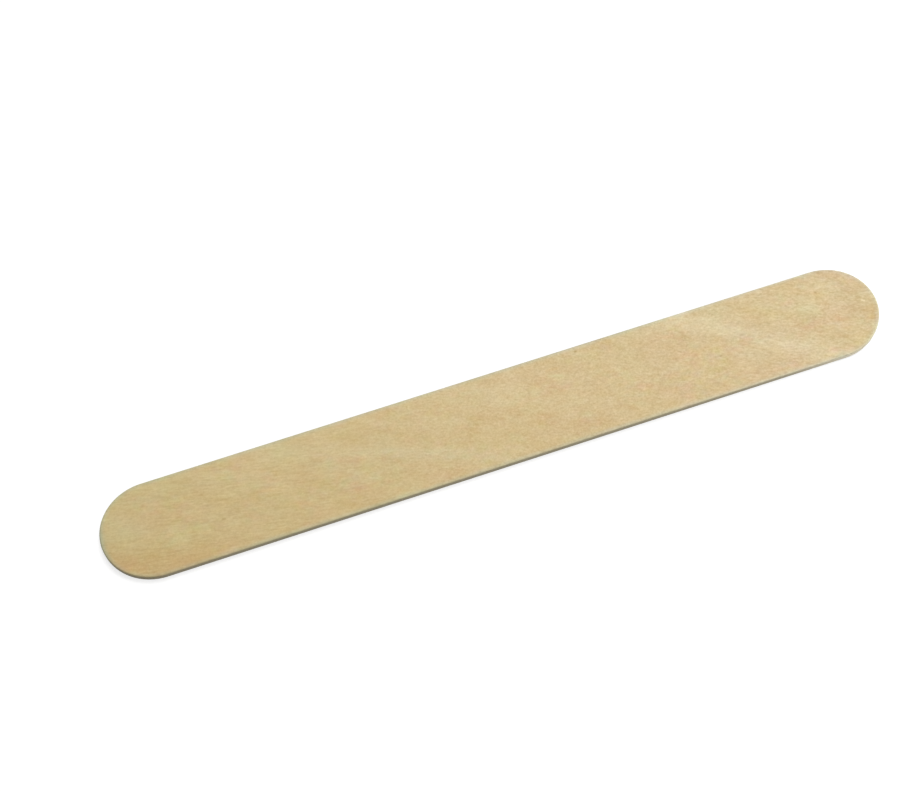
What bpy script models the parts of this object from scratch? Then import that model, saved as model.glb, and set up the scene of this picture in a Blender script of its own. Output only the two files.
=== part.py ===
"""Tongue depressor: a flat birch blade with rounded ends, its edges eased by tumbling.

The blade lies flat, with its underside on Z = 0, its length along X and the
origin at the middle of the underside. Lengths are in metres.
"""

import math

import bpy
import bmesh

# Driving dimensions
LENGTH = 0.150  # over both rounded ends
WIDTH = 0.018  # across the straight sides
THICKNESS = 0.0016  # one sheet of peeled veneer
END_REACH = 0.0098  # from the end of the straight sides to the tip
ARRIS = 0.00030  # rounding along every edge between a face and the rim

# Facets of the rounded stretches
END_STEPS = 48
ARRIS_STEPS = 4

# Finish of the bare wood
BIRCH_COLOUR = (0.644, 0.503, 0.279, 1.0)
BIRCH_ROUGHNESS = 0.62
BIRCH_METALLIC = 0.0

# How the solid is cleaned up: all far finer than the arris
WELD_DISTANCE = ARRIS / 300
FLAT_ANGLE = math.radians(0.1)
EDGE_ANGLE = math.radians(40.0)


def clear_scene():
    """Removes every object that the new scene starts with."""
    for obj in list(bpy.data.objects):
        bpy.data.objects.remove(obj, do_unlink=True)


def birch_material():
    """Bare, unvarnished birch: pale yellow-brown and nearly matt."""
    material = bpy.data.materials.new("birch")
    material.use_nodes = True
    surface = material.node_tree.nodes["Principled BSDF"]
    surface.inputs["Base Color"].default_value = BIRCH_COLOUR
    surface.inputs["Roughness"].default_value = BIRCH_ROUGHNESS
    surface.inputs["Metallic"].default_value = BIRCH_METALLIC
    material.diffuse_color = BIRCH_COLOUR
    return material


def end_outline():
    """The rounded end at +X, from its lower side to its upper side.

    It is half an ellipse, a little longer than it is wide, and it runs into
    the straight sides with no corner.
    """
    half_width = WIDTH / 2
    shoulder_x = LENGTH / 2 - END_REACH
    angles = [math.pi * (i / END_STEPS - 0.5) for i in range(END_STEPS + 1)]
    return [
        (shoulder_x + END_REACH * math.cos(a), half_width * math.sin(a))
        for a in angles
    ]


def blade_outline():
    """The whole outline, anticlockwise: the +X end, then the same end turned half round."""
    right = end_outline()
    left = [(-x, -y) for x, y in right]
    return right + left


def plate_curve(name, points, thickness):
    """A filled outline, extruded by half its thickness to each side of its plane."""
    curve = bpy.data.curves.new(name, "CURVE")
    curve.dimensions = "2D"
    curve.fill_mode = "BOTH"
    curve.extrude = thickness / 2
    spline = curve.splines.new("POLY")
    spline.points.add(len(points) - 1)
    for point, (x, y) in zip(spline.points, points):
        point.co = (x, y, 0.0, 1.0)
    spline.use_cyclic_u = True
    return curve


def mesh_of_curve(curve, name):
    """The curve's solid as a mesh, its caps welded on and each flat face in one piece."""
    holder = bpy.data.objects.new(name + "_outline", curve)
    bpy.context.scene.collection.objects.link(holder)
    graph = bpy.context.evaluated_depsgraph_get()
    mesh = bpy.data.meshes.new_from_object(holder.evaluated_get(graph))
    bpy.data.objects.remove(holder)
    mesh.name = name
    work = bmesh.new()
    work.from_mesh(mesh)
    bmesh.ops.remove_doubles(work, verts=work.verts, dist=WELD_DISTANCE)
    bmesh.ops.dissolve_limit(
        work, angle_limit=FLAT_ANGLE, verts=work.verts, edges=work.edges
    )
    bmesh.ops.recalc_face_normals(work, faces=work.faces)
    work.to_mesh(mesh)
    work.free()
    return mesh


def ease_edges(blade):
    """Rounds the arrises between both faces and the rim, as tumbling does."""
    easing = blade.modifiers.new("eased arris", "BEVEL")
    easing.width = ARRIS
    easing.segments = ARRIS_STEPS
    easing.limit_method = "ANGLE"
    easing.angle_limit = EDGE_ANGLE
    easing.harden_normals = True


def make_blade(collection, material):
    """The one-piece blade, resting on its flat underside."""
    curve = plate_curve("blade_outline", blade_outline(), THICKNESS)
    mesh = mesh_of_curve(curve, "blade")
    mesh.materials.clear()
    mesh.materials.append(material)
    mesh.shade_smooth()
    mesh.set_sharp_from_angle(angle=EDGE_ANGLE)
    blade = bpy.data.objects.new("blade", mesh)
    blade.location.z = THICKNESS / 2
    collection.objects.link(blade)
    ease_edges(blade)
    return blade


def main():
    clear_scene()
    collection = bpy.data.collections.new("tongue_depressor")
    bpy.context.scene.collection.children.link(collection)
    make_blade(collection, birch_material())


if __name__ == "__main__":
    main()
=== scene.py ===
"""Tongue depressor: the finished look of one birch blade, and the stage that it is shown on.

The blade is made by Geometry Nodes from its length, width, thickness, the reach of its
rounded ends and the rounding of its edges. Its wood is made of shader node groups.
"""

import math

import bpy
from bpy.props import FloatProperty, FloatVectorProperty, IntProperty, PointerProperty
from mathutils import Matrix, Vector


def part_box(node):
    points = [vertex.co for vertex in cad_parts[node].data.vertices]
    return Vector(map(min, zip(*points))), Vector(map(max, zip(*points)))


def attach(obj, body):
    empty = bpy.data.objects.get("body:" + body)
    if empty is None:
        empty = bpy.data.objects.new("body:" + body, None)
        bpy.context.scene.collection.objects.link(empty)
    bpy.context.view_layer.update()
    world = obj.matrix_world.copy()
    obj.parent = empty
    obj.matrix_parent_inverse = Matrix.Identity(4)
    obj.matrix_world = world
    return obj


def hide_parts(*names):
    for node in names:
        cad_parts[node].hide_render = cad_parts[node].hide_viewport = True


bl_info = {
    "name": "Tongue Depressor",
    "version": (1, 0, 0),
    "blender": (4, 5, 0),
    "location": "3D View > Sidebar > Depressor",
    "description": "Makes a birch tongue depressor and a stage for it",
    "category": "Object",
}

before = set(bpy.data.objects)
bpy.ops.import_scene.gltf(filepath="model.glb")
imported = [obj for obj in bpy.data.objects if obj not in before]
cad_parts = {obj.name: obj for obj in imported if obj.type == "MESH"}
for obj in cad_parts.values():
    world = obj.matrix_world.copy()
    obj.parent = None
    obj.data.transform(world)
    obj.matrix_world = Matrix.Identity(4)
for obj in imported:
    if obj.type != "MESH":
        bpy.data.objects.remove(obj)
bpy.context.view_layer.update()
blade_low, blade_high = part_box("blade")
blade_size = blade_high - blade_low

MILLIMETRE = 0.001
NODE_SPACING = 180


# Node trees


class Term:
    """An output of a node. Plain arithmetic on it adds Math nodes to its tree."""

    def __init__(self, board, socket):
        self.board = board
        self.socket = socket

    def __add__(self, other):
        return self.board.math("ADD", self, other)

    def __sub__(self, other):
        return self.board.math("SUBTRACT", self, other)

    def __rsub__(self, other):
        return self.board.math("SUBTRACT", other, self)

    def __mul__(self, other):
        return self.board.math("MULTIPLY", self, other)

    def __truediv__(self, other):
        return self.board.math("DIVIDE", self, other)

    __radd__ = __add__
    __rmul__ = __mul__


class Board:
    """A node tree in the making: each call adds nodes and wires up their inputs."""

    def __init__(self, tree):
        self.tree = tree

    def add(self, kind, feeds=None, **settings):
        """Adds a node. feeds maps an input's name or number to a value or to a Term."""
        node = self.tree.nodes.new(kind)
        node.location.x = NODE_SPACING * len(self.tree.nodes)
        for name, value in settings.items():
            setattr(node, name, value)
        self.feed_all(node, feeds or {})
        return node

    def feed_all(self, node, feeds):
        for key, value in feeds.items():
            self.feed(node.inputs[key], value)

    def feed(self, socket, value):
        if isinstance(value, Term):
            self.tree.links.new(value.socket, socket)
        else:
            socket.default_value = value

    def out(self, node, output=0):
        return Term(self, node.outputs[output])

    def first(self, kind, feeds=None, **settings):
        """Adds a node and gives its first output."""
        return self.out(self.add(kind, feeds, **settings))

    def math(self, operation, a, b=0.0):
        return self.first("ShaderNodeMath", {0: a, 1: b}, operation=operation)

    def clamp(self, value, low=0.0, high=1.0):
        return self.first("ShaderNodeClamp", {"Value": value, "Min": low, "Max": high})

    def smooth(self, value, start, end):
        """0 at start, 1 at end, and level at both."""
        feeds = {"Value": value, "From Min": start, "From Max": end}
        return self.first("ShaderNodeMapRange", feeds, interpolation_type="SMOOTHSTEP")

    def blend(self, share, a, b):
        """The number a where share is 0 and b where it is 1."""
        return a + (b - a) * share

    def vector(self, operation, a, b):
        return self.first("ShaderNodeVectorMath", {0: a, 1: b}, operation=operation)

    def scaled(self, vector, factor):
        return self.first("ShaderNodeVectorMath", {0: vector, "Scale": factor}, operation="SCALE")

    def measure(self, operation, a, b=(0.0, 0.0, 0.0)):
        """A vector operation that gives a number, such as LENGTH."""
        return self.out(self.add("ShaderNodeVectorMath", {0: a, 1: b}, operation=operation), "Value")

    def join(self, x, y, z):
        return self.first("ShaderNodeCombineXYZ", {"X": x, "Y": y, "Z": z})

    def split(self, vector):
        node = self.add("ShaderNodeSeparateXYZ", {"Vector": vector})
        return [self.out(node, axis) for axis in "XYZ"]

    def noise(self, vector, detail=2.0, scale=1.0, output=0):
        """Noise from 0 to 1, or a vector of three such numbers where output is Color."""
        node = self.add("ShaderNodeTexNoise", {"Vector": vector, "Scale": scale, "Detail": detail})
        return self.out(node, output)

    def mix_colour(self, share, a, b, blend_type="MIX"):
        feeds = {"Factor": share, "A": a, "B": b}
        node = self.add("ShaderNodeMix", data_type="RGBA", blend_type=blend_type)
        for socket in node.inputs:
            if socket.enabled and socket.name in feeds:
                self.feed(socket, feeds[socket.name])
        return Term(self, next(s for s in node.outputs if s.enabled))


def new_group(name, kind, inputs, outputs):
    """An empty node group with named sockets: its board, its inputs as Terms and its output node."""
    tree = bpy.data.node_groups.new(name, kind)
    for in_out, sockets in (("INPUT", inputs), ("OUTPUT", outputs)):
        for label, socket_type in sockets.items():
            tree.interface.new_socket(label, in_out=in_out, socket_type="NodeSocket" + socket_type)
    board = Board(tree)
    source = board.add("NodeGroupInput")
    terms = {label: board.out(source, label) for label in inputs}
    return board, terms, board.add("NodeGroupOutput")


def in_fibres(board, place, grain_angle, length, width):
    """The place counted in fibres of this size, turned so that X runs along the grain."""
    turn = {"Vector": place, "Angle": grain_angle * -1.0}
    turned = board.first("ShaderNodeVectorRotate", turn, rotation_type="Z_AXIS")
    return board.vector("DIVIDE", turned, board.join(length, width, width))


# The blade's shape


WELD_DISTANCE = 0.001 * MILLIMETRE

# How many times longer a knife mark is down the rim than along it
KNIFE_STRETCH = 8.0

# Over this part of the arris, as shares of it from the face to the rim, the rim's wood takes over
RIM_OVER_ARRIS = (0.3, 1.0)

# The power by which the end grain fades from the tips to the straight sides
END_GRAIN_FADE = 2.0

SHAPE_INPUTS = {
    "Length": "Float",
    "Width": "Float",
    "Thickness": "Float",
    "End Reach": "Float",
    "Arris": "Float",
    "Columns": "Int",
    "Rows": "Int",
    "Arris Steps": "Int",
    "Wall Steps": "Int",
    "Grain Angle": "Float",
    "Fibre Length": "Float",
    "Fibre Width": "Float",
    "Face Relief": "Float",
    "Knife Marks": "Float",
    "Knife Relief": "Float",
    "Wood": "Material",
}


def capture(board, geometry, fields):
    """Keeps each named vector or number of the points as they are now."""
    node = board.add("GeometryNodeCaptureAttribute", {"Geometry": geometry}, domain="POINT")
    for name, (kind, field) in fields.items():
        node.capture_items.new(kind, name)
        board.feed(node.inputs[name], field)
    return board.out(node, "Geometry"), [board.out(node, name) for name in fields]


def store(board, geometry, name, value, points=True):
    """Keeps a number under a name, at all points or at the chosen ones."""
    feeds = {"Geometry": geometry, "Selection": points, "Name": name, "Value": value}
    return board.first("GeometryNodeStoreNamedAttribute", feeds, data_type="FLOAT", domain="POINT")


def stored(board, name):
    """The number that the points keep under this name."""
    node = board.add("GeometryNodeInputNamedAttribute", {"Name": name}, data_type="FLOAT")
    return board.out(node, "Attribute")


def end_mapping(board, size):
    """Where a point of the flat sheet lies in the outline.

    The sheet's points run from -1 to 1 both ways. Each has a spine point on the
    centre line, and an arm from it, as a share of the way to the edge. Past the
    straight sides the arm turns the sheet's square end into a round one.
    """
    sheet_x, sheet_y, _ = board.split(board.first("GeometryNodeInputPosition"))
    half_length = size["Length"] * 0.5
    along = sheet_x * half_length
    shoulder = half_length - size["End Reach"]
    end = board.clamp((board.math("ABSOLUTE", along) - shoulder) / size["End Reach"])
    spine = board.clamp(along, shoulder * -1.0, shoulder)
    arm_x = end * board.math("SQRT", 1.0 - sheet_y * sheet_y * 0.5) * board.math("SIGN", along)
    arm_y = sheet_y * board.math("SQRT", 1.0 - end * end * 0.5)
    return spine, board.join(arm_x, arm_y, 0.0)


def grow_edge(board, geometry, rings):
    """Adds rings of faces along the sheet's open edge, and numbers each ring's points."""
    start = board.add("GeometryNodeRepeatInput")
    end = board.add("GeometryNodeRepeatOutput")
    start.pair_with_output(end)
    board.feed(start.inputs["Iterations"], rings)
    board.feed(start.inputs["Geometry"], geometry)
    faces = board.first("GeometryNodeInputMeshEdgeNeighbors")
    # An open edge has one face. Inputs 2 and 3 of Compare are its two whole numbers.
    feeds = {2: faces, 3: 1}
    open_edge = board.first("FunctionNodeCompare", feeds, data_type="INT", operation="EQUAL")
    feeds = {"Mesh": board.out(start, "Geometry"), "Selection": open_edge, "Offset Scale": 0.0}
    extrude = board.add("GeometryNodeExtrudeMesh", feeds, mode="EDGES")
    number = board.out(start, "Iteration") + 1.0
    numbered = store(board, board.out(extrude, "Mesh"), "ring", number, board.out(extrude, "Top"))
    board.feed(end.inputs["Geometry"], numbered)
    return board.out(end, "Geometry")


def round_over(board, size, ring):
    """How far in from the rim each ring lies, and how high above the blade's middle."""
    turn = board.clamp(ring / size["Arris Steps"]) * (math.pi / 2)
    inset = size["Arris"] * (1.0 - board.math("SINE", turn))
    drop = size["Arris"] * (1.0 - board.math("COSINE", turn))
    wall = board.clamp((ring - size["Arris Steps"]) / size["Wall Steps"])
    half_thickness = size["Thickness"] * 0.5
    return inset, half_thickness - drop - wall * (half_thickness - size["Arris"])


def mirror_down(board, half, half_thickness):
    """Adds the lower half with its faces turned outwards, lifts both onto the floor and welds them."""
    mirrored = board.first("GeometryNodeTransform", {"Geometry": half, "Scale": (1.0, 1.0, -1.0)})
    lower = board.first("GeometryNodeFlipFaces", {"Mesh": mirrored})
    both = board.add("GeometryNodeJoinGeometry")
    for part in (lower, half):
        board.feed(both.inputs["Geometry"], part)
    feeds = {"Geometry": board.out(both), "Translation": board.join(0.0, 0.0, half_thickness)}
    placed = board.first("GeometryNodeTransform", feeds)
    feeds = {"Geometry": placed, "Distance": WELD_DISTANCE}
    return board.first("GeometryNodeMergeByDistance", feeds)


def relief(board, size):
    """How deep each point lies: between raised fibres on the faces, in knife marks on the rim."""
    position = board.first("GeometryNodeInputPosition")
    at = in_fibres(board, position, size["Grain Angle"], size["Fibre Length"], size["Fibre Width"])
    fibres = board.noise(at) * size["Face Relief"]
    mark = size["Knife Marks"]
    mark = board.join(mark, mark, mark * KNIFE_STRETCH)
    marks = board.noise(board.vector("DIVIDE", position, mark)) * size["Knife Relief"]
    return board.blend(stored(board, "rim"), fibres, marks)


def shape_tree():
    """The blade: half a sheet bent to the outline, rounded over its edge, and mirrored downwards."""
    board, size, result = new_group(
        "birch_blade_shape", "GeometryNodeTree", SHAPE_INPUTS, {"Geometry": "Geometry"}
    )
    feeds = {"Size X": 2.0, "Size Y": 2.0, "Vertices X": size["Columns"], "Vertices Y": size["Rows"]}
    grid = board.first("GeometryNodeMeshGrid", feeds)
    spine, arm = end_mapping(board, size)
    sheet, (spine, arm) = capture(board, grid, {"Spine": ("FLOAT", spine), "Arm": ("VECTOR", arm)})
    sheet = store(board, sheet, "ring", 0.0)
    half = grow_edge(board, sheet, size["Arris Steps"] + size["Wall Steps"])

    ring = stored(board, "ring")
    inset, height = round_over(board, size, ring)
    half_width = size["Width"] * 0.5 - inset
    arm_x, arm_y, _ = board.split(arm)
    place = board.join(spine + arm_x * (size["End Reach"] - inset), arm_y * half_width, height)
    half = board.first("GeometryNodeSetPosition", {"Geometry": half, "Position": place})

    rim = board.smooth(ring / size["Arris Steps"], *RIM_OVER_ARRIS)
    end_grain = rim * board.math("POWER", board.math("ABSOLUTE", arm_x), END_GRAIN_FADE)
    from_edge = (1.0 - board.measure("LENGTH", arm)) * half_width + inset
    half = store(board, half, "from_edge", from_edge / MILLIMETRE)
    half = store(board, half, "rim", rim)
    half = store(board, half, "end_grain", end_grain)
    half = board.first("GeometryNodeRemoveAttribute", {"Geometry": half, "Name": "ring"})

    blade = mirror_down(board, half, size["Thickness"] * 0.5)
    sunk = board.scaled(board.first("GeometryNodeInputNormal"), relief(board, size) * -1.0)
    blade = board.first("GeometryNodeSetPosition", {"Geometry": blade, "Offset": sunk})
    blade = board.first("GeometryNodeSetShadeSmooth", {"Geometry": blade})
    blade = board.first("GeometryNodeRealizeInstances", {"Geometry": blade})
    blade = board.first("GeometryNodeSetMaterial", {"Geometry": blade, "Material": size["Wood"]})
    board.feed(result.inputs["Geometry"], blade)
    return board.tree


def mesh_from_tree(name, tree, values):
    """A plain mesh object made by a Geometry Nodes tree whose inputs have these values."""
    piece = bpy.data.objects.new(name, bpy.data.meshes.new(name))
    bpy.context.scene.collection.objects.link(piece)
    maker = piece.modifiers.new(tree.name, "NODES")
    maker.node_group = tree
    for item in tree.interface.items_tree:
        if item.item_type == "SOCKET" and item.in_out == "INPUT":
            maker[item.identifier] = values[item.name]
    graph = bpy.context.evaluated_depsgraph_get()
    mesh = bpy.data.meshes.new_from_object(
        piece.evaluated_get(graph), preserve_all_data_layers=True, depsgraph=graph
    )
    if not mesh.polygons:
        raise RuntimeError("the tree " + tree.name + " made no faces")
    piece.modifiers.remove(maker)
    piece.data = mesh
    mesh.name = name
    return piece


# The wood


# The cells that pores lie in: their length and width in millimetres, and the share that holds one
PORES = dict(length=0.9, width=0.3, share=0.03)

# In cells from the middle of a pore: where it ends, and where it is wholly dark
PORE_EDGE = (0.45, 0.15)


def fibre_group():
    """Flecks drawn out along the grain: about -1 to 1, and 0 on the whole."""
    inputs = {
        "Place": "Vector",
        "Grain Angle": "Float",
        "Length": "Float",
        "Width": "Float",
        "Detail": "Float",
        "Seed": "Float",
    }
    board, given, result = new_group("birch_fibres", "ShaderNodeTree", inputs, {"Fleck": "Float"})
    at = in_fibres(board, given["Place"], given["Grain Angle"], given["Length"], given["Width"])
    at = board.vector("ADD", at, board.join(given["Seed"], 0.0, 0.0))
    fleck = (board.noise(at, detail=given["Detail"]) - 0.5) * 2.0
    board.feed(result.inputs["Fleck"], fleck)
    return board.tree


def band_group():
    """A band of figure between two places: 1 along its middle, fading to both sides."""
    inputs = {
        "Place": "Vector",
        "Start": "Vector",
        "End": "Vector",
        "Half Width": "Float",
        "Firmness": "Float",
    }
    board, given, result = new_group("birch_band", "ShaderNodeTree", inputs, {"Band": "Float"})
    flat = board.vector("MULTIPLY", given["Place"], (1.0, 1.0, 0.0))
    run = board.vector("SUBTRACT", given["End"], given["Start"])
    away = board.vector("SUBTRACT", flat, given["Start"])
    along = board.measure("DOT_PRODUCT", away, run) / board.measure("DOT_PRODUCT", run, run)
    nearest = board.scaled(run, board.clamp(along))
    reach = board.measure("LENGTH", board.vector("SUBTRACT", away, nearest)) / given["Half Width"]
    fade = board.math("POWER", reach, given["Firmness"]) * -1.0
    board.feed(result.inputs["Band"], board.math("EXPONENT", fade))
    return board.tree


def pore_group():
    """Fine dark pores, drawn out along the grain: 1 inside a pore."""
    inputs = {
        "Place": "Vector",
        "Grain Angle": "Float",
        "Length": "Float",
        "Width": "Float",
        "Share": "Float",
    }
    board, given, result = new_group("birch_pores", "ShaderNodeTree", inputs, {"Pore": "Float"})
    at = in_fibres(board, given["Place"], given["Grain Angle"], given["Length"], given["Width"])
    cells = board.add("ShaderNodeTexVoronoi", {"Vector": at, "Scale": 1.0})
    chance, _, _ = board.split(board.out(cells, "Color"))
    chosen = board.math("LESS_THAN", chance, given["Share"])
    inside = board.smooth(board.out(cells, "Distance"), *PORE_EDGE)
    board.feed(result.inputs["Pore"], inside * chosen)
    return board.tree


# How one step of each change moves the red, the green and the blue of the wood, as a share.
# A step is about one in the 255 of a picture.
CHANGES = {
    "light": (0.0057, 0.0072, 0.0101),
    "pale": (0.0035, 0.0065, 0.0118),
    "pink": (0.0092, 0.0019, -0.0075),
    "green": (-0.0043, 0.0095, -0.0064),
}


def tint_group():
    """Changes a wood colour by so many steps of each kind."""
    inputs = {"Wood": "Color"}
    inputs.update({change.title(): "Float" for change in CHANGES})
    board, given, result = new_group("birch_tint", "ShaderNodeTree", inputs, {"Wood": "Color"})
    tint = (1.0, 1.0, 1.0)
    for change, share in CHANGES.items():
        tint = board.vector("ADD", board.scaled(share, given[change.title()]), tint)
    board.feed(result.inputs["Wood"], board.mix_colour(1.0, given["Wood"], tint, "MULTIPLY"))
    return board.tree


# How a mark fades from its middle where it names no firmness: like a bell
BELL = 2.0

# The figure of the wood, and a painted shade at the left tip. Places and half widths are in
# millimetres, from the middle of the blade, along it and across it. The higher its firmness, the more
# sharply a mark ends. Its other values are steps of the changes above.
FIGURE = {
    "main band, upper": dict(
        start=(35.6, 9.5), end=(47.3, 1.5), half_width=1.75, firmness=3.0, pale=12.5, green=0.8
    ),
    "main band, lower": dict(
        start=(50.2, 0.4), end=(63.8, -9.6), half_width=1.75, firmness=3.0, pale=12.5, green=0.8
    ),
    "main band, soft side": dict(start=(36.9, 10.0), end=(65.2, -8.6), half_width=1.3, pale=3.8),
    "main band, brightest": dict(start=(52.0, -1.5), end=(59.0, -6.0), half_width=1.8, pale=3.0),
    "golden streak beside it, upper": dict(
        start=(46.5, 8.6), end=(56.0, 3.0), half_width=1.2, pale=-8.5, green=1.0
    ),
    "golden streak beside it, lower": dict(
        start=(58.0, 1.0), end=(67.0, -5.0), half_width=1.1, pale=-7.0
    ),
    "golden spot, right": dict(
        start=(41.0, -3.5), end=(43.5, -3.4), half_width=1.3, pale=-9.0, light=-3.5
    ),
    "dark spot, right": dict(
        start=(37.3, 4.0), end=(38.3, 3.9), half_width=0.9, pale=-3.0, light=-6.0
    ),
    "long band, upper": dict(
        start=(-46.0, 9.3), end=(-28.5, 2.9), half_width=1.6, pale=8.0, pink=-1.5
    ),
    "long band, lower": dict(
        start=(-25.6, 2.1), end=(-1.3, -7.6), half_width=1.2, pale=9.5, pink=-3.0
    ),
    "streak above it, upper": dict(
        start=(-31.0, 6.6), end=(-18.5, 3.3), half_width=1.1, pale=-10.0
    ),
    "streak above it, lower": dict(
        start=(-17.8, 1.6), end=(-6.3, -1.6), half_width=1.5, pale=-5.0
    ),
    "patch below it": dict(
        start=(-37.0, -0.5), end=(-26.0, -8.3), half_width=2.2, pale=-7.0, light=-1.0
    ),
    "streak in the middle": dict(start=(-4.0, 1.2), end=(3.6, -0.3), half_width=1.5, pale=-9.0),
    "short band, upper": dict(start=(-7.0, 8.4), end=(1.0, 5.1), half_width=1.3, pale=6.0),
    "short band, middle": dict(
        start=(3.0, 4.3), end=(7.5, 1.2), half_width=1.9, pale=5.5, pink=1.0
    ),
    "short band, lower": dict(start=(9.5, -0.2), end=(16.0, -1.8), half_width=1.4, pale=4.5),
    "streak below it": dict(start=(6.0, -2.5), end=(19.0, -7.3), half_width=1.0, pale=-7.0),
    "golden patch, upper middle": dict(
        start=(9.0, 7.8), end=(15.0, 6.3), half_width=1.6, pale=-3.5
    ),
    "golden patch, before the main band": dict(
        start=(22.0, 8.5), end=(35.0, 2.0), half_width=1.8, pale=-5.0
    ),
    "left end, pale": dict(
        start=(-70.5, 2.0), end=(-68.7, 1.0), half_width=2.3, pale=8.0, pink=-3.0
    ),
    "left end, pale spot": dict(
        start=(-62.3, -2.3), end=(-60.3, -2.7), half_width=1.6, pale=10.0, green=2.0, pink=-1.5
    ),
    "left end, pale tail": dict(start=(-57.0, -4.0), end=(-51.0, -6.0), half_width=1.3, pale=3.5),
    "left end, golden": dict(
        start=(-74.0, -6.4),
        end=(-58.0, -10.0),
        half_width=4.0,
        firmness=4.0,
        pale=-13.5,
        pink=2.0,
        green=-1.5,
    ),
    # Painted shade: the left tip is darkened where its rounded edge turns away from the light
    "left tip, painted shade": dict(
        start=(-74.8, 4.0), end=(-74.8, -4.0), half_width=1.0, light=-10.0, pale=2.5, pink=-9.0
    ),
    "right end, golden": dict(start=(69.0, 8.0), end=(73.6, -3.5), half_width=1.8, pale=-7.0),
    "right end, pale spot": dict(
        start=(61.0, 1.6), end=(63.0, 1.2), half_width=1.2, pale=4.0, green=4.0
    ),
    "right end, golden spot": dict(start=(58.5, 8.2), end=(62.0, 7.8), half_width=1.3, pale=-6.5),
}

# Single strands of paler or of more golden fibre, placed in the same way
STRANDS = {
    "long band, bright edge": dict(start=(-22.0, 1.0), end=(-4.0, -5.2), half_width=0.5, pale=5.0),
    "pale, far side right": dict(
        start=(65.2, 5.5), end=(67.8, 5.1), half_width=0.34, light=12.0, pale=11.0
    ),
    "golden, beside it": dict(
        start=(68.1, 4.5), end=(69.3, 4.2), half_width=0.25, light=14.0, pale=-4.0
    ),
    "pale, top of the main band": dict(
        start=(36.7, 6.3), end=(38.6, 6.0), half_width=0.25, light=13.0
    ),
    "pale, beside it": dict(
        start=(42.6, 6.4), end=(44.2, 6.0), half_width=0.3, light=6.0, pale=7.0
    ),
    "pale, middle of the main band": dict(
        start=(44.3, 2.6), end=(45.8, 2.2), half_width=0.25, light=11.0
    ),
    "pale, foot of the main band": dict(
        start=(54.0, -2.8), end=(55.6, -3.1), half_width=0.3, light=19.0
    ),
    "pale, near side right": dict(
        start=(65.9, -3.7), end=(67.5, -4.0), half_width=0.22, light=10.0
    ),
    "golden, far side": dict(start=(39.8, 8.0), end=(41.6, 7.6), half_width=0.5, pale=-10.0),
    "golden, short band": dict(
        start=(11.6, 6.1), end=(13.6, 5.8), half_width=0.3, pale=-7.0, pink=3.0
    ),
    "pale, short band": dict(
        start=(11.6, 4.8), end=(13.8, 4.3), half_width=0.35, pale=9.0, green=4.0
    ),
    "pale, middle": dict(start=(13.6, -0.4), end=(15.0, -0.7), half_width=0.25, light=12.0),
    "golden, middle": dict(start=(15.6, 0.1), end=(17.2, -0.3), half_width=0.4, pale=-8.0),
    "brown, left": dict(
        start=(-58.9, -1.4), end=(-55.8, -1.8), half_width=0.25, light=-4.0, pale=-4.0
    ),
    "pale, left": dict(
        start=(-52.7, -3.6), end=(-50.8, -3.9), half_width=0.5, light=3.0, pale=6.0
    ),
}

# Small knots of dark or of pale fibre, placed in the same way
SPECKS = {
    "dark, upper right": dict(
        start=(64.6, 4.7), end=(64.8, 4.6), half_width=0.18, light=-36.0, pink=-4.0
    ),
    "dark, lower right": dict(start=(43.0, -1.6), end=(43.3, -1.6), half_width=0.16, light=-38.0),
    "dark, upper middle": dict(start=(17.8, 7.9), end=(18.0, 7.9), half_width=0.18, light=-40.0),
    "dark, lower left": dict(start=(-53.0, -2.3), end=(-52.6, -2.4), half_width=0.16, light=-38.0),
    "pale, right tip": dict(start=(72.4, 0.4), end=(72.7, 0.2), half_width=0.18, light=52.0),
    "pale, upper right": dict(start=(54.5, 8.1), end=(55.1, 8.0), half_width=0.16, light=38.0),
}


# Where the wood and its painted light change along the blade: its middle is 0, and its ends are -1 and
# 1
# RIGHT_END pales the rim with painted light, and RIGHT_SIDE turns the edge's painted shade to painted
# light
RIGHT_END = (0.68, 0.9)
RIGHT_SIDE = (0.3, 0.75)
STRAIGHT_GRAIN = (-0.1, -0.55)
CALM_MIDDLE = 0.13
CALM_REACH = (0.1, 0.6)

# The strength of the flecks in the calm middle, and away from it
FINE_STRENGTH = (0.8, 1.05)
GRIT_STRENGTH = (1.25, 0.85)
BLUSH_STRENGTH = (0.5, 1.0)
MOSS_STRENGTH = (0.8, 1.0)

# The levels of noise over which a patch of stronger flecks begins, and how strong the flecks are
# outside the patches and inside them
PATCH_EDGE = (-0.2, 0.4)
SOFT_IN_PATCH = (0.75, 1.3)
COLOUR_IN_PATCH = (0.4, 1.7)

# The share of the broad clouds, and of the broad pink and green, beside the narrower ones
BROAD_CLOUD = 0.5
BROAD_COLOUR = 0.55

# How the figure strays from straight lines: turns in a millimetre, and how uneven they are
STRAY_SCALE = 0.25
STRAY_DETAIL = 3.0

# Millimetres from the edge at which the worn strip is at its palest, and the share of the grey
# strip's width over which that one is full
WORN_FULL = 0.3
ARRIS_FULL = 0.125

# How closely the rim's own wood keeps to the rim, on the left and on the right; keeping closer on the
# right paints light on the arris above it
RIM_FIRMNESS = (1.0, 6.0)

# What the finest flecks and the rim add to the roughness, and how high the flecks stand
FINE_ROUGHNESS = 0.06
RIM_ROUGHNESS = 0.08
FINE_HEIGHT = 0.5
MIDDLING_HEIGHT = 0.3
BUMP_DISTANCE = 0.02 * MILLIMETRE


def place_in_millimetres(board):
    coordinates = board.out(board.add("ShaderNodeTexCoord"), "Object")
    return board.scaled(coordinates, 1 / MILLIMETRE)


def opaque(colour):
    return (*colour, 1.0)


def use_group(board, group, output, **values):
    """Places a node group with its own values, each under its socket's name in lower case."""
    node = board.add("ShaderNodeGroup")
    node.node_tree = group
    for name, value in values.items():
        board.feed(node.inputs[name.replace("_", " ").title()], value)
    return board.out(node, output)


def attribute(board, name):
    """A number that the shape keeps for the wood."""
    return board.out(board.add("ShaderNodeAttribute", attribute_name=name), "Fac")


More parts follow.
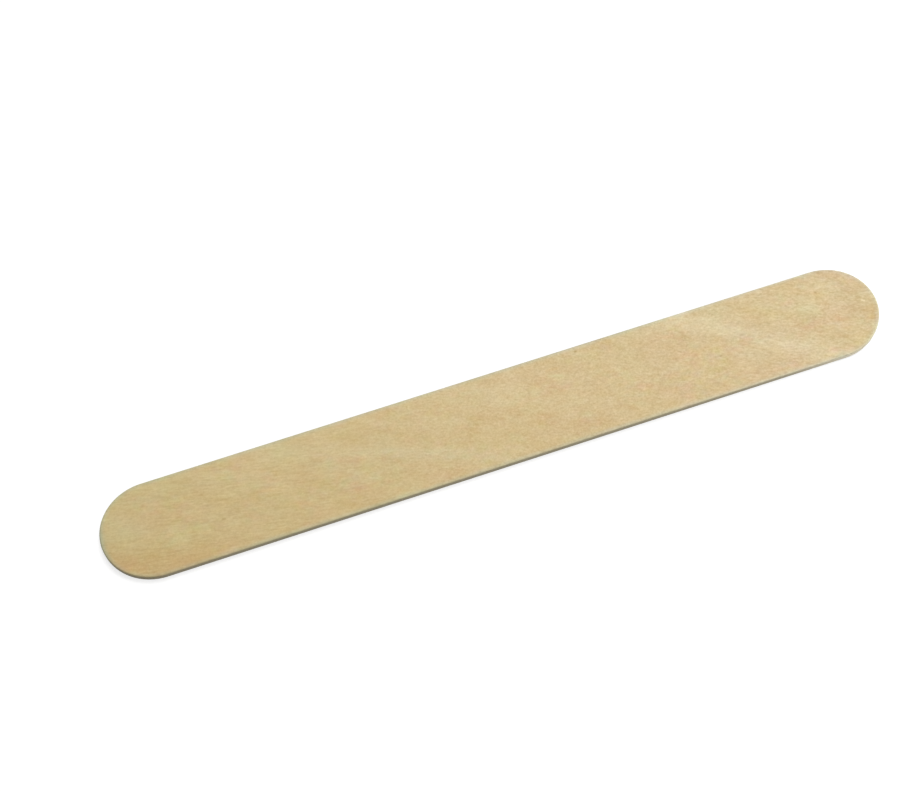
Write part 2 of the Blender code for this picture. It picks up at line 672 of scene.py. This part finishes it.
def fleck_layers(board, finish, place):
    """Each layer of flecks by its name. Lengths and widths are in millimetres."""
    fibres = fibre_group()
    grain, figure = finish.grain_angle, finish.figure_angle
    finest = dict(length=finish.fibre_length / MILLIMETRE, width=finish.fibre_width / MILLIMETRE)
    speck = dict(length=finest["width"], width=finest["width"])

    def flecks(angle, seed, length, width, detail=1.0):
        size = dict(length=length, width=width, detail=detail)
        return use_group(board, fibres, "Fleck", place=place, grain_angle=angle, seed=seed, **size)

    return {
        "long": flecks(grain, seed=23.0, length=2.6, width=0.3),
        "fine": flecks(grain, seed=3.0, **finest),
        "fine and slanted": flecks(figure, seed=7.0, **finest),
        "grit": flecks(0.0, seed=19.0, **speck),
        "middling": flecks(grain, seed=11.0, length=2.5, width=0.9),
        "soft": flecks(grain, seed=51.0, length=2.4, width=1.1),
        "cloud": flecks(figure, seed=61.0, length=6.0, width=2.4),
        "broad cloud": flecks(figure, seed=37.0, length=14.0, width=5.0, detail=0.0),
        "blush": flecks(grain, seed=71.0, length=2.2, width=1.5),
        "broad blush": flecks(figure, seed=75.0, length=6.0, width=3.5, detail=0.0),
        "moss": flecks(grain, seed=83.0, length=2.6, width=1.8),
        "broad moss": flecks(figure, seed=87.0, length=7.0, width=5.0, detail=0.0),
        "patch": flecks(figure, seed=97.0, length=5.0, width=3.5, detail=0.0),
        "rim": flecks(0.0, seed=91.0, length=5.0, width=0.16, detail=2.0),
    }


def fleck_changes(board, finish, flecks, fine, end, ramp):
    """The steps of each change that the layers of flecks make."""
    lively = board.smooth(board.math("ABSOLUTE", end - CALM_MIDDLE), *CALM_REACH)
    patch = board.smooth(flecks["patch"], *PATCH_EDGE)
    texture = board.blend(ramp, 1.0 - finish.texture_ramp, 1.0 + finish.texture_ramp)
    coloured = board.blend(patch, *COLOUR_IN_PATCH)

    grit = flecks["grit"] * board.blend(lively, *GRIT_STRENGTH)
    light = fine * board.blend(lively, *FINE_STRENGTH) * finish.fine_contrast
    light = light + grit * finish.grit_contrast
    light = (light + flecks["middling"] * finish.middling_contrast) * texture
    soft = flecks["soft"] * board.blend(patch, *SOFT_IN_PATCH) * texture * finish.soft_contrast
    cloud = flecks["cloud"] + flecks["broad cloud"] * BROAD_CLOUD
    blush = flecks["blush"] * coloured + flecks["broad blush"] * BROAD_COLOUR
    blush = blush * texture * board.blend(lively, *BLUSH_STRENGTH)
    moss = flecks["moss"] * coloured + flecks["broad moss"] * BROAD_COLOUR
    moss = moss * texture * board.blend(lively, *MOSS_STRENGTH)
    return {
        "light": light - soft * finish.soft_shade,
        "pale": soft + cloud * finish.cloud_contrast,
        "pink": blush * finish.blush_contrast,
        "green": moss * finish.moss_contrast,
    }


def add_trends(finish, end, across, changes):
    """Adds painted light and shade that change slowly over the blade: lighter and paler towards +Y,
    from side to side, and darker and less pink towards its ends.
    """
    changes["light"] = changes["light"] + across * finish.side_light - end * end * finish.end_shade
    changes["pale"] = changes["pale"] + across * finish.side_pale
    changes["pink"] = changes["pink"] - end * end * finish.end_grey


def add_marks(board, bands, place, marks, changes):
    """Adds the steps of each mark to the changes."""
    for mark in marks.values():
        band = use_group(
            board,
            bands,
            "Band",
            place=place,
            start=(*mark["start"], 0.0),
            end=(*mark["end"], 0.0),
            half_width=mark["half_width"],
            firmness=mark.get("firmness", BELL),
        )
        for change in CHANGES:
            if change in mark:
                changes[change] = changes[change] + band * mark[change]


def strayed(board, place, wander):
    """The place, moved a little this way and that, so that the figure's lines wander."""
    noise = board.noise(place, detail=STRAY_DETAIL, scale=STRAY_SCALE, output="Color")
    stray = board.vector("SUBTRACT", noise, (0.5, 0.5, 0.5))
    return board.vector("ADD", place, board.scaled(stray, wander))


def add_wear(board, finish, right_side, changes):
    """Adds the paler strip that tumbling leaves along every edge, and its grey outermost part, which
    also carries painted shade that turns to painted light towards the end at +X.
    """
    from_edge = attribute(board, "from_edge")
    worn = board.smooth(from_edge, finish.worn_width / MILLIMETRE, WORN_FULL)
    width = board.blend(right_side, finish.arris_width, finish.right_arris_width) / MILLIMETRE
    arris = board.smooth(from_edge, width, width * ARRIS_FULL)
    # Painted shade on the grey strip; towards +X it is below zero, which paints light there instead
    shade = board.blend(right_side, finish.arris_painted_shade, finish.right_arris_painted_shade)
    changes["light"] = changes["light"] - arris * shade
    changes["pale"] = changes["pale"] + worn * finish.worn_pale + arris * finish.arris_pale
    changes["pink"] = changes["pink"] - worn * finish.worn_grey - arris * finish.arris_grey


def rim_wood(board, finish, tints, end, layers):
    """The duller wood of the cut rim: layers along it, end grain at the tips, and painted light that
    makes it paler towards the end at +X.
    """
    # Painted light: the rim's wood pales towards the end at +X, as if lit there
    right_end = board.smooth(end, *RIGHT_END)
    wood = board.mix_colour(right_end, opaque(finish.left_rim), opaque(finish.right_rim_painted_light))
    end_grain = attribute(board, "end_grain") * finish.end_grain_share
    wood = board.mix_colour(end_grain, wood, opaque(finish.end_grain_wood))
    return use_group(board, tints, "Wood", wood=wood, light=layers * finish.rim_contrast)


def birch_wood(finish, length):
    """Bare birch: golden and pale figure, fine flecks, few pores, and a duller cut rim, with painted
    light and shade along the edges and over the blade.
    """
    material = bpy.data.materials.new("birch")
    material.use_nodes = True
    board = Board(material.node_tree)
    surface = material.node_tree.nodes["Principled BSDF"]
    bands, tints = band_group(), tint_group()
    place = place_in_millimetres(board)
    along, across, _ = board.split(place)
    end = along / (length / MILLIMETRE / 2)
    ramp = board.clamp(end * 0.5 + 0.5)
    right_side = board.smooth(end, *RIGHT_SIDE)

    flecks = fleck_layers(board, finish, place)
    straight = board.smooth(end, *STRAIGHT_GRAIN)
    fine = flecks["fine"] + board.blend(straight, flecks["fine and slanted"], flecks["long"])
    pores = dict(place=place, grain_angle=finish.grain_angle, **PORES)
    pore = use_group(board, pore_group(), "Pore", **pores)

    changes = fleck_changes(board, finish, flecks, fine, end, ramp)
    add_trends(finish, end, across, changes)
    changes["light"] = changes["light"] - pore * finish.pore_shade
    add_marks(board, bands, strayed(board, place, finish.wander / MILLIMETRE), FIGURE, changes)
    add_marks(board, bands, place, STRANDS, changes)
    add_marks(board, bands, place, SPECKS, changes)
    add_wear(board, finish, right_side, changes)
    wood = board.mix_colour(ramp, opaque(finish.left_wood), opaque(finish.right_wood))
    wood = use_group(board, tints, "Wood", wood=wood, **changes)

    # Painted light: on the right the rim's own wood keeps to its lowest part, so the arris above it
    # stays pale
    rim = board.math("POWER", attribute(board, "rim"), board.blend(right_side, *RIM_FIRMNESS))
    cut = rim_wood(board, finish, tints, end, flecks["rim"])
    height = fine * FINE_HEIGHT + flecks["middling"] * MIDDLING_HEIGHT - pore
    bump = {"Strength": finish.bump, "Distance": BUMP_DISTANCE, "Height": height}
    feeds = {
        "Base Color": board.mix_colour(rim * finish.rim_share, wood, cut),
        "Roughness": finish.roughness + fine * FINE_ROUGHNESS + rim * RIM_ROUGHNESS,
        "Specular IOR Level": finish.shine,
        "Normal": board.first("ShaderNodeBump", bump),
    }
    board.feed_all(surface, feeds)
    return material


# The stage


WHITE = (1.0, 1.0, 1.0, 1.0)
PAPER_ROUGHNESS = 0.9
PAPER_SHINE = 0.1

# In metres from the middle of the blade: where the paper begins to shine more, and where it is as
# white as the room
PAPER_FADE = (0.15, 1.0)

# The width of the camera's film in millimetres, and the nearest distance that it sees in metres
FILM_WIDTH = 36.0
NEAREST_SEEN = 0.01

# Any distance does for the window, whose light is parallel
WINDOW_DISTANCE = 1.0


def seen_directly(board):
    """1 for rays from the camera and for those that a gloss or a glass sends on."""
    path = board.add("ShaderNodeLightPath")
    rays = [board.out(path, "Is %s Ray" % kind) for kind in ("Camera", "Glossy", "Transmission")]
    return board.math("MAXIMUM", board.math("MAXIMUM", rays[0], rays[1]), rays[2])


def floor_paper(stage):
    """Pale paper: it shows as white but keeps the shadow, and throws little light back up."""
    material = bpy.data.materials.new("pale_paper")
    material.use_nodes = True
    board = Board(material.node_tree)
    surface = material.node_tree.nodes["Principled BSDF"]
    seen = seen_directly(board)
    place = board.out(board.add("ShaderNodeTexCoord"), "Object")
    far = board.smooth(board.measure("LENGTH", place), *PAPER_FADE)
    paper = board.mix_colour(seen, opaque(stage.floor_bounce), opaque(stage.floor_colour))
    feeds = {
        "Base Color": paper,
        "Roughness": PAPER_ROUGHNESS,
        "Specular IOR Level": PAPER_SHINE,
        "Emission Color": WHITE,
        "Emission Strength": seen * board.blend(far, stage.floor_lift, 1.0),
    }
    board.feed_all(surface, feeds)
    return material


def make_floor(stage):
    half = stage.floor_size / 2
    mesh = bpy.data.meshes.new("floor")
    corners = [(-half, -half), (half, -half), (half, half), (-half, half)]
    mesh.from_pydata([(x, y, -stage.floor_gap) for x, y in corners], [], [(0, 1, 2, 3)])
    mesh.materials.append(floor_paper(stage))
    floor = bpy.data.objects.new("floor", mesh)
    bpy.context.scene.collection.objects.link(floor)


def make_world(stage):
    """An even soft light from all round, which the camera sees as white."""
    world = bpy.data.worlds.new("soft_room")
    world.use_nodes = True
    board = Board(world.node_tree)
    room = world.node_tree.nodes["Background"]
    strength = board.blend(seen_directly(board), stage.room_light, 1.0)
    board.feed_all(room, {"Color": WHITE, "Strength": strength})
    bpy.context.scene.world = world


def direction(azimuth, elevation):
    """Towards a lamp or the camera: azimuth 0 is the blade's near side, and it turns to +X."""
    x = math.sin(azimuth) * math.cos(elevation)
    y = -math.cos(azimuth) * math.cos(elevation)
    return Vector((x, y, math.sin(elevation)))


def hold(thing, towards, distance, target=(0.0, 0.0, 0.0)):
    """Places a lamp or a camera at a distance from its target, pointed at it and not rolled."""
    holder = bpy.data.objects.new(thing.name, thing)
    holder.location = Vector(target) + towards * distance
    holder.rotation_euler = towards.to_track_quat("Z", "Y").to_euler()
    bpy.context.scene.collection.objects.link(holder)
    return holder


def make_lamps(stage):
    """A broad window behind the blade, to its right, and a small lamp near its right end.

    Each is as strong as it has to be to give a level face its share of the light.
    """
    towards = direction(stage.window_azimuth, stage.window_elevation)
    window = bpy.data.lights.new("window", "SUN")
    window.energy = stage.window_light * math.pi / towards.z
    window.angle = stage.window_spread
    hold(window, towards, WINDOW_DISTANCE)

    towards = direction(stage.lamp_azimuth, stage.lamp_elevation)
    lamp = bpy.data.lights.new("right_lamp", "AREA")
    lamp.shape = "DISK"
    lamp.size = stage.lamp_size
    lamp.energy = stage.lamp_light * math.pi**2 * stage.lamp_distance**2 / towards.z
    hold(lamp, towards, stage.lamp_distance)


def make_camera(stage):
    camera = bpy.data.cameras.new("camera")
    camera.lens = stage.camera_lens
    camera.sensor_width = FILM_WIDTH
    camera.sensor_fit = "HORIZONTAL"
    camera.clip_start = NEAREST_SEEN
    towards = direction(stage.camera_azimuth, stage.camera_elevation)
    bpy.context.scene.camera = hold(camera, towards, stage.camera_distance, stage.camera_target)


# The add-on's settings


def length_setting(name, description, default):
    return FloatProperty(
        name=name, description=description, default=default, unit="LENGTH", precision=5
    )


def angle_setting(name, description, degrees):
    return FloatProperty(
        name=name, description=description, default=math.radians(degrees), subtype="ANGLE"
    )


def share_setting(name, description, default):
    return FloatProperty(
        name=name, description=description, default=default, subtype="FACTOR", soft_max=1.0
    )


def step_setting(name, description, default):
    """A setting in steps of colour."""
    return FloatProperty(name=name, description=description, default=default)


def count_setting(name, description, default, least):
    return IntProperty(name=name, description=description, default=default, min=least)


def colour_setting(name, description, default):
    return FloatVectorProperty(
        name=name, description=description, default=default, subtype="COLOR", size=3, min=0.0, max=1.0
    )


class BladeShape(bpy.types.PropertyGroup):
    """The blade's sizes. Its length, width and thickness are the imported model's."""

    length: length_setting("Length", "Over both rounded ends", blade_size.x)
    width: length_setting("Width", "Across the straight sides", blade_size.y)
    thickness: length_setting("Thickness", "Of the sheet of veneer", blade_size.z)
    end_reach: length_setting("End reach", "From the straight sides to the tip", 9.8 * MILLIMETRE)
    arris: length_setting("Arris", "Rounding between a face and the rim", 0.30 * MILLIMETRE)
    columns: count_setting("Columns", "Points along the blade", 281, least=8)
    rows: count_setting("Rows", "Points across the blade", 121, least=8)
    arris_steps: count_setting("Arris steps", "Faces over the rounding", 5, least=1)
    wall_steps: count_setting("Wall steps", "Faces down half the rim", 4, least=1)
    face_relief: length_setting("Face relief", "Depth of the fibres on both faces", 0.008 * MILLIMETRE)
    knife_marks: length_setting("Knife marks", "Width of the marks down the rim", 0.35 * MILLIMETRE)
    knife_relief: length_setting("Knife relief", "Depth of the marks down the rim", 0.02 * MILLIMETRE)


class BirchFinish(bpy.types.PropertyGroup):
    """The look of the wood. A step is about one in the 255 of a picture."""

    left_wood: colour_setting("Left wood", "Wood at the end at -X", (0.611, 0.468, 0.218))
    right_wood: colour_setting("Right wood", "Wood at the end at +X", (0.617, 0.477, 0.271))
    left_rim: colour_setting("Left rim", "Rim, but for the end at +X", (0.45, 0.395, 0.27))
    # Painted light: the rim at +X is painted pale, as if lit
    right_rim_painted_light: colour_setting("Right rim", "Rim at the end at +X", (0.92, 0.84, 0.65))
    end_grain_wood: colour_setting("End-grain wood", "Tips, cut across the fibres", (0.66, 0.57, 0.41))
    rim_share: share_setting("Rim share", "How far the rim takes its own colour", 0.85)
    rim_contrast: step_setting("Rim contrast", "Of the layers in the rim", 45.0)
    end_grain_share: share_setting("End-grain share", "How far the tips take their own colour", 0.6)
    grain_angle: angle_setting("Grain angle", "Of the fibres, from the blade's length", -11.0)
    figure_angle: angle_setting("Figure angle", "Of the clouds in the wood", -27.0)
    fibre_length: length_setting("Fibre length", "Of the finest flecks", 0.85 * MILLIMETRE)
    fibre_width: length_setting("Fibre width", "Of the finest flecks", 0.34 * MILLIMETRE)
    fine_contrast: step_setting("Fine contrast", "Of the finest flecks", 20.5)
    grit_contrast: step_setting("Grit contrast", "Of flecks that lie no way", 24.0)
    middling_contrast: step_setting("Middling contrast", "Of the middling flecks", 5.2)
    soft_contrast: step_setting("Soft contrast", "Of the soft pale flecks", 20.0)
    soft_shade: share_setting("Soft shade", "Steps darker for each step paler, in a soft fleck", 0.4)
    cloud_contrast: step_setting("Cloud contrast", "Of the pale and golden clouds", 10.3)
    blush_contrast: step_setting("Blush contrast", "Of the pink in the wood", 4.7)
    moss_contrast: step_setting("Moss contrast", "Of the green in the wood", 5.2)
    texture_ramp: share_setting("Texture ramp", "How much stronger the flecks are at +X", 0.2)
    wander: length_setting("Wander", "How far the figure strays from its lines", 1.8 * MILLIMETRE)
    # Painted light and shade: lighter and paler towards +Y, darker towards both ends; the ends are
    # also less pink
    side_light: step_setting("Side light", "Lighter towards +Y, for each mm", 0.36)
    side_pale: step_setting("Side pale", "Paler towards +Y, for each mm", 0.29)
    end_shade: step_setting("End shade", "Darker at both ends", 6.9)
    end_grey: step_setting("End grey", "Less pink at both ends", 2.5)
    worn_width: length_setting("Worn width", "Of the paler strip along every edge", 1.1 * MILLIMETRE)
    worn_pale: step_setting("Worn pale", "How much paler that strip is", 7.5)
    worn_grey: step_setting("Worn grey", "How much less pink that strip is", 6.0)
    arris_width: length_setting("Arris width", "Of the grey strip at the very edge", 0.8 * MILLIMETRE)
    right_arris_width: length_setting("Right arris width", "The same at +X", 0.45 * MILLIMETRE)
    # Painted shade on the grey strip at the very edge; below zero, as at +X, it is painted light
    arris_painted_shade: step_setting("Arris shade", "How much darker that strip is", 18.0)
    right_arris_painted_shade: step_setting("Right arris shade", "The same at +X", -9.0)
    arris_pale: step_setting("Arris pale", "How much paler that strip is", 22.0)
    arris_grey: step_setting("Arris grey", "How much less pink that strip is", 4.0)
    pore_shade: step_setting("Pore shade", "How much darker a pore is", 9.0)
    roughness: share_setting("Roughness", "Of the tumbled faces", 0.62)
    shine: share_setting("Shine", "Of bare wood", 0.3)
    bump: share_setting("Bump", "How much the finest fibres stand out", 0.3)


class StageSettings(bpy.types.PropertyGroup):
    """The floor, the light and the camera."""

    floor_size: length_setting("Floor size", "Of the square of paper", 6.0)
    floor_gap: length_setting("Floor gap", "From the underside to the paper", 0.01 * MILLIMETRE)
    floor_colour: colour_setting("Floor colour", "As the camera sees it", (0.4, 0.4, 0.4))
    floor_bounce: colour_setting("Floor bounce", "As the blade's rim sees it", (0.25, 0.25, 0.25))
    floor_lift: share_setting("Floor lift", "How far the paper shines near the blade", 0.72)
    room_light: share_setting("Room light", "Share of the light that comes from all round", 0.30)
    window_light: share_setting("Window light", "Share of the light that the window gives", 0.525)
    window_azimuth: angle_setting("Window azimuth", "From the near side towards +X", 140.0)
    window_elevation: angle_setting("Window elevation", "Above the floor", 60.0)
    window_spread: angle_setting("Window spread", "How broad the window looks", 35.0)
    lamp_light: share_setting("Lamp light", "Share of the light that the lamp gives", 0.18)
    lamp_azimuth: angle_setting("Lamp azimuth", "From the near side towards +X", 60.0)
    lamp_elevation: angle_setting("Lamp elevation", "Above the floor", 28.0)
    lamp_distance: length_setting("Lamp distance", "From the middle of the blade", 0.25)
    lamp_size: length_setting("Lamp size", "Across the disk", 0.10)
    camera_azimuth: angle_setting("Camera azimuth", "From the near side towards +X", -18.8394)
    camera_elevation: angle_setting("Camera elevation", "Above the floor", 68.1851)
    camera_distance: length_setting("Camera distance", "From its target", 0.350)
    camera_lens: FloatProperty(name="Camera lens", description="Focal length in mm", default=75.915)
    camera_target: FloatVectorProperty(
        name="Camera target",
        description="Where on the floor the camera looks",
        default=(-6.7222 * MILLIMETRE, 7.6192 * MILLIMETRE, 0.0),
        subtype="XYZ",
        unit="LENGTH",
        precision=5,
    )


# The add-on's operators


class DEPRESSOR_OT_blade(bpy.types.Operator):
    """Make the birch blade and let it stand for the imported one"""

    bl_idname = "depressor.blade"
    bl_label = "Make Birch Blade"

    def execute(self, context):
        shape = context.scene.depressor_shape
        finish = context.scene.depressor_finish
        values = {
            "Length": shape.length,
            "Width": shape.width,
            "Thickness": shape.thickness,
            "End Reach": shape.end_reach,
            "Arris": shape.arris,
            "Columns": shape.columns,
            "Rows": shape.rows,
            "Arris Steps": shape.arris_steps,
            "Wall Steps": shape.wall_steps,
            "Grain Angle": finish.grain_angle,
            "Fibre Length": finish.fibre_length,
            "Fibre Width": finish.fibre_width,
            "Face Relief": shape.face_relief,
            "Knife Marks": shape.knife_marks,
            "Knife Relief": shape.knife_relief,
            "Wood": birch_wood(finish, shape.length),
        }
        blade = mesh_from_tree("birch_blade", shape_tree(), values)
        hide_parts("blade")
        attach(blade, "root")
        return {"FINISHED"}


class DEPRESSOR_OT_stage(bpy.types.Operator):
    """Make the floor, the lights and the camera"""

    bl_idname = "depressor.stage"
    bl_label = "Make Stage"

    def execute(self, context):
        stage = context.scene.depressor_stage
        make_floor(stage)
        make_world(stage)
        make_lamps(stage)
        make_camera(stage)
        context.scene.view_settings.view_transform = "Standard"
        return {"FINISHED"}


class DEPRESSOR_PT_sidebar(bpy.types.Panel):
    """Lists the operators and their settings"""

    bl_idname = "DEPRESSOR_PT_sidebar"
    bl_label = "Tongue Depressor"
    bl_space_type = "VIEW_3D"
    bl_region_type = "UI"
    bl_category = "Depressor"

    def draw(self, context):
        for operator, group in (
            (DEPRESSOR_OT_blade, context.scene.depressor_shape),
            (None, context.scene.depressor_finish),
            (DEPRESSOR_OT_stage, context.scene.depressor_stage),
        ):
            box = self.layout.box()
            if operator:
                box.operator(operator.bl_idname)
            for name in group.__annotations__:
                box.prop(group, name)


CLASSES = (
    BladeShape,
    BirchFinish,
    StageSettings,
    DEPRESSOR_OT_blade,
    DEPRESSOR_OT_stage,
    DEPRESSOR_PT_sidebar,
)


def register():
    for each in CLASSES:
        bpy.utils.register_class(each)
    bpy.types.Scene.depressor_shape = PointerProperty(type=BladeShape)
    bpy.types.Scene.depressor_finish = PointerProperty(type=BirchFinish)
    bpy.types.Scene.depressor_stage = PointerProperty(type=StageSettings)


def unregister():
    del bpy.types.Scene.depressor_stage
    del bpy.types.Scene.depressor_finish
    del bpy.types.Scene.depressor_shape
    for each in reversed(CLASSES):
        bpy.utils.unregister_class(each)


def main():
    register()
    bpy.ops.depressor.blade()
    bpy.ops.depressor.stage()


if __name__ == "__main__":
    main()
